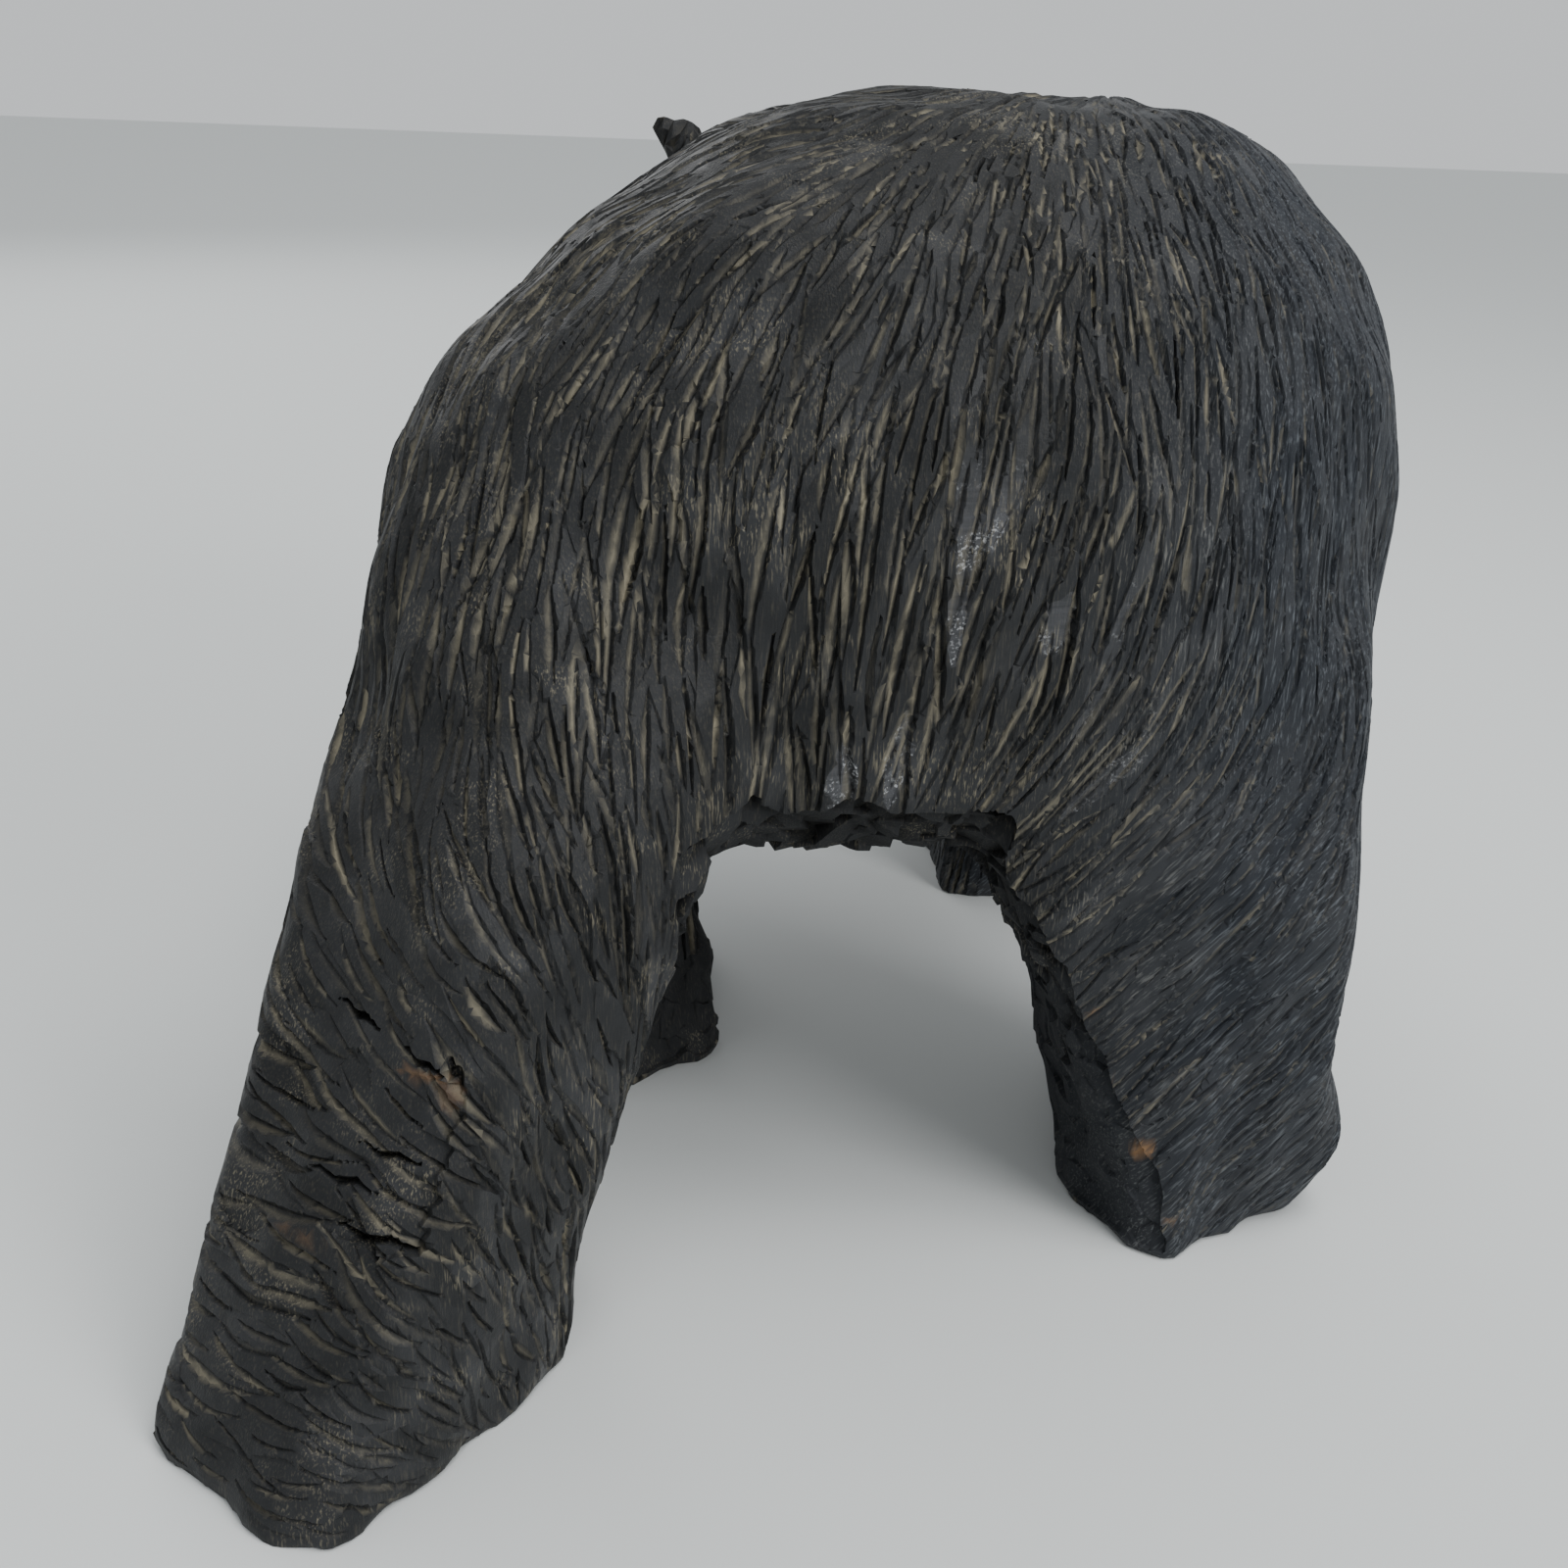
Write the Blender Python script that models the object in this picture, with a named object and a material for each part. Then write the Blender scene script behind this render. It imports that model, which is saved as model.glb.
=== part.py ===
"""Walking bear carved from one block of wood, stained black.

The bear faces -Y and stands on four flat soles at Z = 0. Its left side is +X.
Rounded masses are joined into one skin, long fur cuts are gouged into it,
the arch between the hind legs is chopped rough, and the soles are sawn flat.
Places and sizes of the masses are shares of the bear's height.
"""

import math
import random

import bmesh
import bpy
import numpy as np
from mathutils import Matrix, Vector
from mathutils.kdtree import KDTree

# Driving sizes in metres
BEAR_HEIGHT = 0.236
FUR_CUT_WIDTH = 0.0135
FUR_CUT_LENGTH = 0.050
FUR_CUT_DEPTH = 0.0036
CHOP_WIDTH = 0.010
CHOP_DEPTH = 0.0024

# Fineness of the carving block and of the finished skin
SKIN_CELL = 0.0034
SKIN_TRIANGLES = 9600
BLEND_PASSES = 5
FUR_CUTS = 1100
SEED = 7

# Colour and gloss of the stained wood
STAIN_COLOUR = (0.018, 0.018, 0.019, 1.0)
STAIN_ROUGHNESS = 0.45

# Where the fur fans out from, as shares of the height, and how soon it falls
WHORL = Vector((-0.10, 0.33, 0.97))
FUR_FALL = 1.5
FUR_FALL_LIMIT = 1.6

# Beyond this far aside and below this height the fur sweeps back along a leg
LEG_SIDE = 0.3
LEG_TOP = 0.5
LEG_SWEEP = 0.45

# Spread of the fur cuts' sizes, and how alike two surfaces face to share a cut
FUR_LENGTH_SPREAD = (0.7, 1.2)
FUR_WIDTH_SPREAD = (0.8, 1.25)
SAME_FACING = 0.3

# Squareness of a section: 2 is an ellipse, more is closer to a square
ROUNDED = 2.5
SQUARED = 6.5

# Body masses: centre, half sizes and tilt about X in degrees, shares of the height
MASSES = {
    "belly": ((-0.014, 0.020, 0.600), (0.430, 0.420, 0.255), 0),
    "back": ((-0.020, 0.000, 0.680), (0.330, 0.360, 0.284), 0),
    "withers": ((0.000, -0.215, 0.652), (0.325, 0.270, 0.316), 0),
    "chest": ((0.000, -0.310, 0.560), (0.270, 0.190, 0.235), 0),
    "neck": ((0.010, -0.430, 0.690), (0.225, 0.210, 0.215), -20),
    "skull": ((0.020, -0.570, 0.712), (0.185, 0.165, 0.172), 0),
    "brow": ((0.020, -0.640, 0.745), (0.125, 0.110, 0.090), 20),
    "muzzle": ((0.020, -0.712, 0.652), (0.092, 0.125, 0.084), 8),
    "left_thigh": ((0.284, 0.255, 0.590), (0.204, 0.215, 0.260), 0),
    "left_ham": ((0.322, 0.360, 0.535), (0.168, 0.160, 0.270), 28),
    "right_thigh": ((-0.226, 0.230, 0.540), (0.186, 0.225, 0.260), 0),
    "left_shoulder": ((0.215, -0.170, 0.540), (0.165, 0.190, 0.260), 0),
    "right_shoulder": ((-0.215, -0.240, 0.540), (0.165, 0.190, 0.260), 0),
}

# Level sections of the haunches, above the arch: centre X, Y, Z, half width, half length, turn
HAUNCHES = (
    (0.015, 0.200, 0.360, 0.340, 0.200, 0),
    (0.015, 0.225, 0.430, 0.420, 0.250, 0),
    (0.029, 0.230, 0.560, 0.455, 0.260, 0),
    (0.025, 0.228, 0.680, 0.452, 0.258, 0),
    (-0.003, 0.222, 0.780, 0.409, 0.246, 0),
    (-0.032, 0.212, 0.880, 0.342, 0.214, 0),
    (-0.052, 0.200, 0.945, 0.255, 0.165, 0),
    (-0.065, 0.195, 0.992, 0.140, 0.085, 0),
)

# Leg sections from the sole up: centre X, Y, Z, half width, half length, turn
LEGS = {
    "left_hind": (
        (0.503, 0.602, -0.060, 0.162, 0.120, 46),
        (0.496, 0.588, 0.000, 0.162, 0.120, 46),
        (0.456, 0.546, 0.150, 0.144, 0.124, 46),
        (0.408, 0.500, 0.300, 0.136, 0.136, 42),
        (0.357, 0.432, 0.440, 0.152, 0.150, 34),
        (0.286, 0.320, 0.590, 0.160, 0.160, 18),
        (0.230, 0.230, 0.700, 0.110, 0.110, 0),
    ),
    "right_hind": (
        (-0.278, 0.376, -0.060, 0.132, 0.092, 30),
        (-0.278, 0.376, 0.000, 0.132, 0.092, 30),
        (-0.276, 0.356, 0.080, 0.130, 0.126, 8),
        (-0.252, 0.344, 0.180, 0.140, 0.142, -5),
        (-0.240, 0.322, 0.240, 0.150, 0.156, -4),
        (-0.221, 0.316, 0.300, 0.168, 0.164, -4),
        (-0.207, 0.306, 0.370, 0.185, 0.174, -2),
        (-0.209, 0.262, 0.560, 0.172, 0.180, 0),
        (-0.205, 0.240, 0.680, 0.110, 0.120, 0),
    ),
    "left_fore": (
        (0.302, 0.012, -0.060, 0.138, 0.162, 24),
        (0.302, 0.012, 0.000, 0.140, 0.164, 24),
        (0.300, 0.000, 0.080, 0.138, 0.154, 22),
        (0.296, -0.040, 0.210, 0.118, 0.130, 14),
        (0.262, -0.120, 0.400, 0.126, 0.145, 6),
        (0.215, -0.165, 0.560, 0.120, 0.130, 0),
    ),
    "right_fore": (
        (-0.318, -0.390, -0.060, 0.122, 0.150, -10),
        (-0.318, -0.385, 0.000, 0.124, 0.152, -10),
        (-0.314, -0.370, 0.100, 0.116, 0.140, -8),
        (-0.304, -0.330, 0.240, 0.108, 0.130, -6),
        (-0.262, -0.275, 0.400, 0.122, 0.145, -3),
        (-0.215, -0.235, 0.560, 0.120, 0.130, 0),
    ),
}

# Paws: centre X, Y and heading in degrees, shares of the height
PAWS = {
    "left_hind": (0.438, 0.450, -14),
    "right_hind": (-0.350, 0.220, -12),
    "left_fore": (0.270, -0.120, -6),
    "right_fore": (-0.316, -0.515, 4),
}
PAW_HALF = Vector((0.125, 0.120, 0.090))

# Grooves between the toes: places across the paw, and the reach of the toes ahead and up
TOE_GROOVES = (-0.52, -0.18, 0.18, 0.52)
TOE_GROOVE_WIDTH = 0.0035
TOE_GROOVE_DEPTH = 0.0022
TOE_START = 0.35
TOE_END = 1.3
TOE_TOP = 1.5
TOE_UNDERSIDE = -0.5

# Head: ears stand on the skull's sides, eyes and mouth are cut in, the nose is left proud
EAR_CENTRES = (Vector((0.136, -0.545, 0.896)), Vector((-0.098, -0.545, 0.896)))
EAR_HALF = Vector((0.042, 0.028, 0.068))
EAR_SPLAY = 50
EAR_HOLLOW = 0.0045
EAR_CUP_SHARE = 0.8
EAR_FRONT_FACING = -0.3
EAR_FRONT_REACH = 1.6
EYE_CENTRES = (Vector((0.098, -0.700, 0.765)), Vector((-0.058, -0.700, 0.765)))
EYE_RADIUS = 0.0065
EYE_DEPTH = 0.0022
NOSE_CENTRE = Vector((0.020, -0.822, 0.688))
NOSE_HALF = Vector((0.040, 0.026, 0.028))
MOUTH_HEIGHT = 0.618
MOUTH_BACK = -0.680
MOUTH_GROOVE_WIDTH = 0.0036
MOUTH_GROOVE_DEPTH = 0.0026

# The chopped tunnel between the hind legs: middle line, half width, height and ends
ARCH_MIDDLE = Vector((0.030, 0.0, 0.060))
ARCH_HALF_WIDTH = 0.300
ARCH_TOP = 0.455
ARCH_FRONT = 0.020
ARCH_BACK = 0.560
ARCH_FACING = 0.45
CHOP_LEAST_SINK = 0.6


def scaled(shares):
    """Turns shares of the height into a place in metres."""
    return Vector(shares) * BEAR_HEIGHT


def clear_scene():
    """Removes whatever the scene holds."""
    for old in list(bpy.data.objects):
        bpy.data.objects.remove(old, do_unlink=True)


def add_mass(body, centre, half_sizes, tilt=0.0, spin=0.0):
    """Adds one egg-shaped mass to the body's mesh."""
    turn = Matrix.Rotation(math.radians(spin), 4, "Z") @ Matrix.Rotation(math.radians(tilt), 4, "X")
    size = Matrix.Diagonal((*scaled(half_sizes), 1.0))
    place = Matrix.Translation(scaled(centre)) @ turn @ size
    bmesh.ops.create_icosphere(body, subdivisions=4, radius=1.0, matrix=place)


def section_ring(body, section, squareness, sides=28):
    """Adds the ring of points around one level cut through a leg."""
    x, y, z, half_width, half_length, turn = section
    spin = Matrix.Rotation(math.radians(turn), 3, "Z")
    ring = []
    for step in range(sides):
        angle = 2 * math.pi * step / sides
        across = math.copysign(abs(math.cos(angle)) ** (2 / squareness), math.cos(angle))
        along = math.copysign(abs(math.sin(angle)) ** (2 / squareness), math.sin(angle))
        offset = spin @ Vector((half_width * across, half_length * along, 0.0))
        ring.append(body.verts.new(scaled(Vector((x, y, z)) + offset)))
    return ring


def add_loft(body, sections, squareness):
    """Lofts one closed form through its level sections."""
    rings = [section_ring(body, section, squareness) for section in sections]
    for low, high in zip(rings, rings[1:]):
        for index in range(len(low)):
            following = (index + 1) % len(low)
            body.faces.new((low[index], low[following], high[following], high[index]))
    body.faces.new(reversed(rings[0]))
    body.faces.new(rings[-1])


def rough_body():
    """Joins the masses, legs, paws and ears as overlapping closed shells."""
    body = bmesh.new()
    for centre, half_sizes, tilt in MASSES.values():
        add_mass(body, centre, half_sizes, tilt)
    add_loft(body, HAUNCHES, ROUNDED)
    for sections in LEGS.values():
        add_loft(body, sections, SQUARED)
    for x, y, heading in PAWS.values():
        add_mass(body, (x, y, 0.5 * PAW_HALF.z), PAW_HALF, spin=heading)
    add_mass(body, NOSE_CENTRE, NOSE_HALF)
    for centre in EAR_CENTRES:
        side = math.copysign(1.0, centre[0])
        turn = Matrix.Rotation(math.radians(side * EAR_SPLAY), 4, "Y")
        size = Matrix.Diagonal((*scaled(EAR_HALF), 1.0))
        place = Matrix.Translation(scaled(centre)) @ turn @ size
        bmesh.ops.create_icosphere(body, subdivisions=3, radius=1.0, matrix=place)
    mesh = bpy.data.meshes.new("rough_body")
    body.to_mesh(mesh)
    body.free()
    return mesh


def evaluated(mesh, *modifiers):
    """Gives the mesh as the listed modifiers leave it."""
    holder = bpy.data.objects.new("holder", mesh)
    bpy.context.scene.collection.objects.link(holder)
    for kind, settings in modifiers:
        modifier = holder.modifiers.new(kind.lower(), kind)
        for name, value in settings.items():
            setattr(modifier, name, value)
    depsgraph = bpy.context.evaluated_depsgraph_get()
    result = bpy.data.meshes.new_from_object(holder.evaluated_get(depsgraph))
    bpy.data.objects.remove(holder, do_unlink=True)
    return result


def points_and_normals(mesh):
    """Reads a mesh's points and point normals as arrays."""
    count = len(mesh.vertices)
    points = np.empty(count * 3)
    normals = np.empty(count * 3)
    mesh.vertices.foreach_get("co", points)
    mesh.vertices.foreach_get("normal", normals)
    return points.reshape(-1, 3), normals.reshape(-1, 3)


def fur_direction(point, normal):
    """Heading of the fur at a point: away from the whorl, then falling down."""
    away = (point - scaled(WHORL)) / BEAR_HEIGHT
    down = Vector((0.0, 0.0, -1.0))
    flow = away.normalized() + down * min(FUR_FALL_LIMIT, FUR_FALL * away.length)
    if abs(point.x) > LEG_SIDE * BEAR_HEIGHT and point.z < LEG_TOP * BEAR_HEIGHT:
        flow += Vector((0.0, LEG_SWEEP, 0.0))
    flow -= normal * flow.dot(normal)
    return flow.normalized() if flow.length > 0 else down


def point_tree(points):
    """Sorts points so that near ones are found fast."""
    tree = KDTree(len(points))
    for index, point in enumerate(points):
        tree.insert(point, index)
    tree.balance()
    return tree


def fur_depth(points, normals):
    """Depth of long spindle-shaped gouge cuts that follow the fur."""
    chance = random.Random(SEED)
    tree = point_tree(points)
    depth = np.zeros(len(points))
    for index in chance.sample(range(len(points)), FUR_CUTS):
        centre = Vector(points[index])
        normal = Vector(normals[index])
        along = fur_direction(centre, normal)
        across = normal.cross(along)
        half_length = 0.5 * FUR_CUT_LENGTH * chance.uniform(*FUR_LENGTH_SPREAD)
        half_width = 0.5 * FUR_CUT_WIDTH * chance.uniform(*FUR_WIDTH_SPREAD)
        for place, near, _ in tree.find_range(centre, half_length):
            offset = place - centre
            share = offset.dot(along) / half_length
            reach = half_width * (1 - share * share)
            if reach <= 0 or Vector(normals[near]).dot(normal) < SAME_FACING:
                continue
            hollow = 1 - abs(offset.dot(across)) / reach
            if hollow > 0:
                depth[near] = max(depth[near], FUR_CUT_DEPTH * hollow * (1 - share * share))
    return depth


def chop_depth(points, normals):
    """Depth of the rough chopped facets inside the arch, and where they lie."""
    shares = points / BEAR_HEIGHT
    inward = np.array(ARCH_MIDDLE) - shares
    inward[:, 1] = 0.0
    inward /= np.linalg.norm(inward, axis=1)[:, None]
    inside = (
        (np.abs(shares[:, 0] - ARCH_MIDDLE.x) < ARCH_HALF_WIDTH)
        & (shares[:, 2] < ARCH_TOP)
        & (shares[:, 1] > ARCH_FRONT)
        & (shares[:, 1] < ARCH_BACK)
        & ((inward * normals).sum(axis=1) > ARCH_FACING)
    )
    chance = random.Random(SEED + 1)
    chosen = np.flatnonzero(inside)
    cell_area = SKIN_CELL * SKIN_CELL
    chops = max(1, int(len(chosen) * cell_area / CHOP_WIDTH**2))
    centres = [Vector(points[index]) for index in chance.sample(list(chosen), chops)]
    leans = [Vector([chance.uniform(-1, 1) for axis in range(3)]) for centre in centres]
    sinks = [chance.uniform(0, 1) for centre in centres]
    tree = point_tree(centres)
    depth = np.zeros(len(points))
    for index in chosen:
        place = Vector(points[index])
        centre, nearest, _ = tree.find(place)
        lean = leans[nearest].dot(place - centre) / CHOP_WIDTH
        depth[index] = CHOP_DEPTH * (CHOP_LEAST_SINK + sinks[nearest] + lean)
    return depth, inside


def face_depth(points, normals):
    """Depth of the eyes, the mouth line and the cupped ears."""
    shares = points / BEAR_HEIGHT
    depth = np.zeros(len(points))
    for centre in EYE_CENTRES:
        away = np.linalg.norm(points - np.array(scaled(centre)), axis=1) / EYE_RADIUS
        depth = np.maximum(depth, EYE_DEPTH * np.clip(1 - away * away, 0, None))
    drop = np.abs(shares[:, 2] - MOUTH_HEIGHT) * BEAR_HEIGHT / (0.5 * MOUTH_GROOVE_WIDTH)
    lips = (shares[:, 1] < MOUTH_BACK) & (drop < 1)
    depth = np.where(lips, MOUTH_GROOVE_DEPTH * (1 - drop), depth)
    for centre in EAR_CENTRES:
        offset = (shares - np.array(centre)) / np.array(EAR_HALF)
        rim = (offset[:, 0] ** 2 + offset[:, 2] ** 2) / EAR_CUP_SHARE**2
        cup = np.clip(1 - rim, 0, None)
        front = (normals[:, 1] < EAR_FRONT_FACING) & (np.abs(offset[:, 1]) < EAR_FRONT_REACH)
        depth = np.where(front, np.maximum(depth, EAR_HOLLOW * cup), depth)
    return depth


def toe_depth(points, normals):
    """Depth of the grooves between the toes of each paw."""
    depth = np.zeros(len(points))
    for x, y, heading in PAWS.values():
        turn = math.radians(heading)
        ahead = np.array((math.sin(turn), -math.cos(turn), 0.0))
        aside = np.array((math.cos(turn), math.sin(turn), 0.0))
        offset = points - np.array(scaled((x, y, 0.0)))
        forward = offset @ ahead / (PAW_HALF.y * BEAR_HEIGHT)
        sideways = offset @ aside
        on_toes = (forward > TOE_START) & (forward < TOE_END)
        on_toes &= normals[:, 2] > TOE_UNDERSIDE
        on_toes &= points[:, 2] < TOE_TOP * PAW_HALF.z * BEAR_HEIGHT
        on_toes &= np.abs(sideways) < PAW_HALF.x * BEAR_HEIGHT
        for share in TOE_GROOVES:
            gap = np.abs(sideways - share * PAW_HALF.x * BEAR_HEIGHT)
            groove = TOE_GROOVE_DEPTH * np.clip(1 - gap / TOE_GROOVE_WIDTH, 0, None)
            depth = np.where(on_toes, np.maximum(depth, groove), depth)
    return depth


def centred_on_soles(skin):
    """Moves the carving until the origin is under the middle of its box."""
    for axis in (0, 1):
        reach = [vertex.co[axis] for vertex in skin.verts]
        middle = 0.5 * (min(reach) + max(reach))
        for vertex in skin.verts:
            vertex.co[axis] -= middle


def carved_bear(mesh):
    """Carves the joined skin and saws the soles flat."""
    points, normals = points_and_normals(mesh)
    chopped, inside_arch = chop_depth(points, normals)
    furred = np.where(inside_arch, chopped, fur_depth(points, normals))
    depth = furred + face_depth(points, normals) + toe_depth(points, normals)
    points -= normals * depth[:, None]
    mesh.vertices.foreach_set("co", points.ravel())
    ratio = SKIN_TRIANGLES / (2.0 * len(mesh.polygons))
    thinned = evaluated(mesh, ("DECIMATE", {"ratio": ratio}))
    skin = bmesh.new()
    skin.from_mesh(thinned)
    cut = bmesh.ops.bisect_plane(
        skin,
        geom=skin.verts[:] + skin.edges[:] + skin.faces[:],
        dist=1e-5,
        plane_co=(0.0, 0.0, 0.0),
        plane_no=(0.0, 0.0, 1.0),
        clear_inner=True,
    )
    rims = [item for item in cut["geom_cut"] if isinstance(item, bmesh.types.BMEdge)]
    bmesh.ops.edgeloop_fill(skin, edges=rims)
    bmesh.ops.triangulate(skin, faces=skin.faces[:])
    bmesh.ops.recalc_face_normals(skin, faces=skin.faces[:])
    centred_on_soles(skin)
    result = bpy.data.meshes.new("carved_bear")
    skin.to_mesh(result)
    skin.free()
    return result


def stained_wood():
    """Black stained wood with a soft sheen."""
    material = bpy.data.materials.new("stained_wood")
    material.use_nodes = True
    shader = material.node_tree.nodes["Principled BSDF"]
    shader.inputs["Base Color"].default_value = STAIN_COLOUR
    shader.inputs["Roughness"].default_value = STAIN_ROUGHNESS
    shader.inputs["Metallic"].default_value = 0.0
    return material


def main():
    clear_scene()
    block = evaluated(
        rough_body(),
        ("REMESH", {"mode": "VOXEL", "voxel_size": SKIN_CELL}),
        ("SMOOTH", {"factor": 0.5, "iterations": BLEND_PASSES}),
    )
    bear = bpy.data.objects.new("carved_bear", carved_bear(block))
    bear.data.materials.append(stained_wood())
    bpy.context.scene.collection.objects.link(bear)


if __name__ == "__main__":
    main()
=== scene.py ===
import math
import random
from functools import partial

import bpy
import numpy as np
from mathutils import Matrix, Vector
from mathutils.kdtree import KDTree


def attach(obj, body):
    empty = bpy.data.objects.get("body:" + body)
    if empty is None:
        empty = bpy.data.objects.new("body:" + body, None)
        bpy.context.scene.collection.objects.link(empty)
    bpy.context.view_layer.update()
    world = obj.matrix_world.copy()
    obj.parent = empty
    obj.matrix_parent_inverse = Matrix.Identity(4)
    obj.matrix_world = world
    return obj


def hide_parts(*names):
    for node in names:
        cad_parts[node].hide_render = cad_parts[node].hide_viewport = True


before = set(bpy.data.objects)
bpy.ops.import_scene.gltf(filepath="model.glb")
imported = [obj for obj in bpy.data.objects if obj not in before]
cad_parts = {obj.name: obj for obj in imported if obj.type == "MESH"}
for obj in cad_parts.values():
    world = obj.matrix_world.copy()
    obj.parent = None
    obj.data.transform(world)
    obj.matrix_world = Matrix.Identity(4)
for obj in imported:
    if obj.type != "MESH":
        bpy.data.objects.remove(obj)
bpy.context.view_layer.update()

bl_info = {
    "name": "Carved Walking Bear",
    "version": (1, 0, 0),
    "blender": (4, 5, 0),
    "location": "3D View > Sidebar > Bear",
    "description": "Carves a walking bear's fur gouge by gouge and stains it black",
    "category": "Object",
}

NODE = "carved_bear"
PIECE = "gouged_bear"
MILLIMETRE = 0.001

# The photo's viewpoint, in metres and degrees
CAMERA_PLACE = (0.0663, 0.4208, 0.242)
CAMERA_PITCH = 23.0
CAMERA_ROLL = 2.7
CAMERA_HEADING = 10.0
# Points that face the viewpoint more than this and lie behind this Y count as seen
SEEN_FACING = -0.12
SEEN_BEHIND = -0.115
# Softboxes: place, aim and side in metres, power in watts
SOFTBOXES = {
    "top_softbox": ((-0.30, 0.35, 1.3), (0.0, 0.0, 0.1), 0.6, 8.0),
    "side_softbox": ((-0.9, 1.2, 0.8), (0.0, 0.0, 0.12), 0.7, 13.0),
    "front_softbox": ((0.5, -1.3, 0.9), (0.0, 0.0, 0.12), 0.9, 5.5),
}

# The whorl on top of the rump, from which the fur fans out
WHORL = np.array((-0.047, 0.097, 0.236))

# Combing guides: place in metres, heading, and the cuts there in millimetres:
# width, length, flat left between cuts (as a multiple of the width), depth
GUIDES = {
    "whorl": ((-0.044, 0.094, 0.228), (0.02, 0.70, -0.60), (1.4, 7.0, 1.10, 0.36)),
    "whorl front": ((-0.036, 0.100, 0.214), (0.08, 0.72, -0.68), (1.7, 9.5, 1.30, 0.52)),
    "whorl left": ((-0.026, 0.096, 0.220), (0.35, 0.70, -0.62), (1.5, 9.0, 1.15, 0.42)),
    "rump right": ((-0.056, 0.110, 0.202), (-0.31, 0.42, -0.85), (1.9, 15.0, 1.30, 0.58)),
    "flank top": ((-0.079, 0.097, 0.210), (-0.31, 0.52, -0.80), (1.3, 14.0, 1.20, 0.30)),
    "flank edge": ((-0.099, 0.095, 0.192), (-0.34, 0.22, -0.91), (1.2, 15.0, 1.50, 0.26)),
    "back by whorl": ((-0.018, 0.088, 0.224), (0.80, 0.46, -0.39), (1.5, 9.0, 1.10, 0.38)),
    "back top": ((-0.005, 0.068, 0.230), (0.94, -0.28, -0.19), (1.6, 13.0, 1.15, 0.38)),
    "back left": ((0.029, 0.073, 0.217), (0.90, -0.12, -0.43), (1.7, 15.0, 1.15, 0.42)),
    "shoulder": ((0.048, 0.092, 0.197), (0.59, 0.40, -0.70), (1.9, 16.0, 1.20, 0.50)),
    "left flank": ((0.075, 0.087, 0.173), (0.20, 0.50, -0.85), (2.0, 18.0, 1.20, 0.50)),
    "upper rump": ((0.007, 0.112, 0.193), (0.43, 0.35, -0.83), (2.1, 17.0, 1.35, 0.62)),
    "rump middle": ((-0.003, 0.121, 0.151), (0.09, 0.05, -0.99), (2.4, 20.0, 1.30, 0.70)),
    "rump right low": ((-0.032, 0.122, 0.148), (0.25, 0.03, -0.97), (2.2, 20.0, 1.10, 0.62)),
    "rump left low": ((0.029, 0.123, 0.152), (0.00, 0.24, -0.97), (2.4, 19.0, 1.30, 0.68)),
    "left hip": ((0.057, 0.133, 0.146), (0.13, 0.15, -0.98), (2.2, 18.0, 1.20, 0.60)),
    "left thigh": ((0.071, 0.142, 0.114), (-0.13, 0.45, -0.88), (2.2, 16.0, 1.25, 0.60)),
    "shank outer": ((0.093, 0.141, 0.090), (-0.44, 0.80, -0.40), (2.4, 17.0, 2.20, 0.70)),
    "shank": ((0.077, 0.156, 0.087), (-0.93, 0.31, -0.30), (2.4, 18.0, 2.70, 0.80)),
    "shank low": ((0.096, 0.162, 0.054), (-0.85, 0.45, -0.05), (2.4, 19.0, 2.70, 0.80)),
    "left heel": ((0.098, 0.177, 0.021), (-0.94, 0.34, -0.06), (1.9, 14.0, 2.20, 0.50)),
    "inner face top": ((0.044, 0.137, 0.102), (-0.09, 0.12, -0.99), (2.2, 15.0, 1.20, 0.60)),
    "inner face": ((0.062, 0.155, 0.078), (-0.32, -0.08, -0.94), (1.9, 11.0, 1.35, 0.50)),
    "inner face low": ((0.078, 0.171, 0.035), (-0.39, 0.00, -0.92), (1.9, 11.0, 1.35, 0.46)),
    "right thigh inner": ((-0.052, 0.119, 0.100), (0.75, 0.00, -0.66), (1.5, 22.0, 1.20, 0.34)),
    "right thigh": ((-0.073, 0.121, 0.090), (0.76, 0.18, -0.62), (1.4, 24.0, 1.50, 0.28)),
    "right thigh outer": ((-0.095, 0.118, 0.092), (0.33, 0.11, -0.94), (1.2, 22.0, 1.50, 0.28)),
    "right shank": ((-0.082, 0.121, 0.055), (0.69, 0.11, -0.72), (1.3, 24.0, 1.80, 0.26)),
    "right heel": ((-0.099, 0.118, 0.028), (0.66, 0.26, -0.71), (1.3, 22.0, 1.80, 0.26)),
    "right shank outer": ((-0.115, 0.110, 0.059), (0.38, 0.45, -0.80), (1.2, 22.0, 1.60, 0.28)),
    "right flank low": ((-0.095, 0.107, 0.147), (-0.04, 0.06, -1.00), (1.2, 20.0, 1.30, 0.28)),
    "right flank": ((-0.058, 0.119, 0.160), (0.03, 0.03, -1.00), (1.8, 18.0, 1.15, 0.46)),
    "above arch right": ((-0.049, 0.119, 0.123), (0.32, -0.06, -0.95), (2.6, 24.0, 1.10, 0.60)),
    "above arch": ((0.010, 0.119, 0.122), (0.03, 0.00, -1.00), (3.0, 24.0, 1.15, 0.75)),
}
GUIDE_REACH = 0.017
# Cuts wherever no guide is near, and how weakly the plain lie of the fur pulls against a guide
PLAIN_CUTS = (3.0, 20.0, 1.20, 0.75)
PLAIN_PULL = 0.02
# Away from the whorl the plain lie turns down, by this much a metre, up to the most
FALL_RATE = 6.0
FALL_MOST = 1.6
FACE_CUTS = (1.9, 9.0, 1.20, 0.36)
FACE_PLACE = np.array((-0.018, -0.150, 0.170))
FACE_REACH = 0.030
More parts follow.
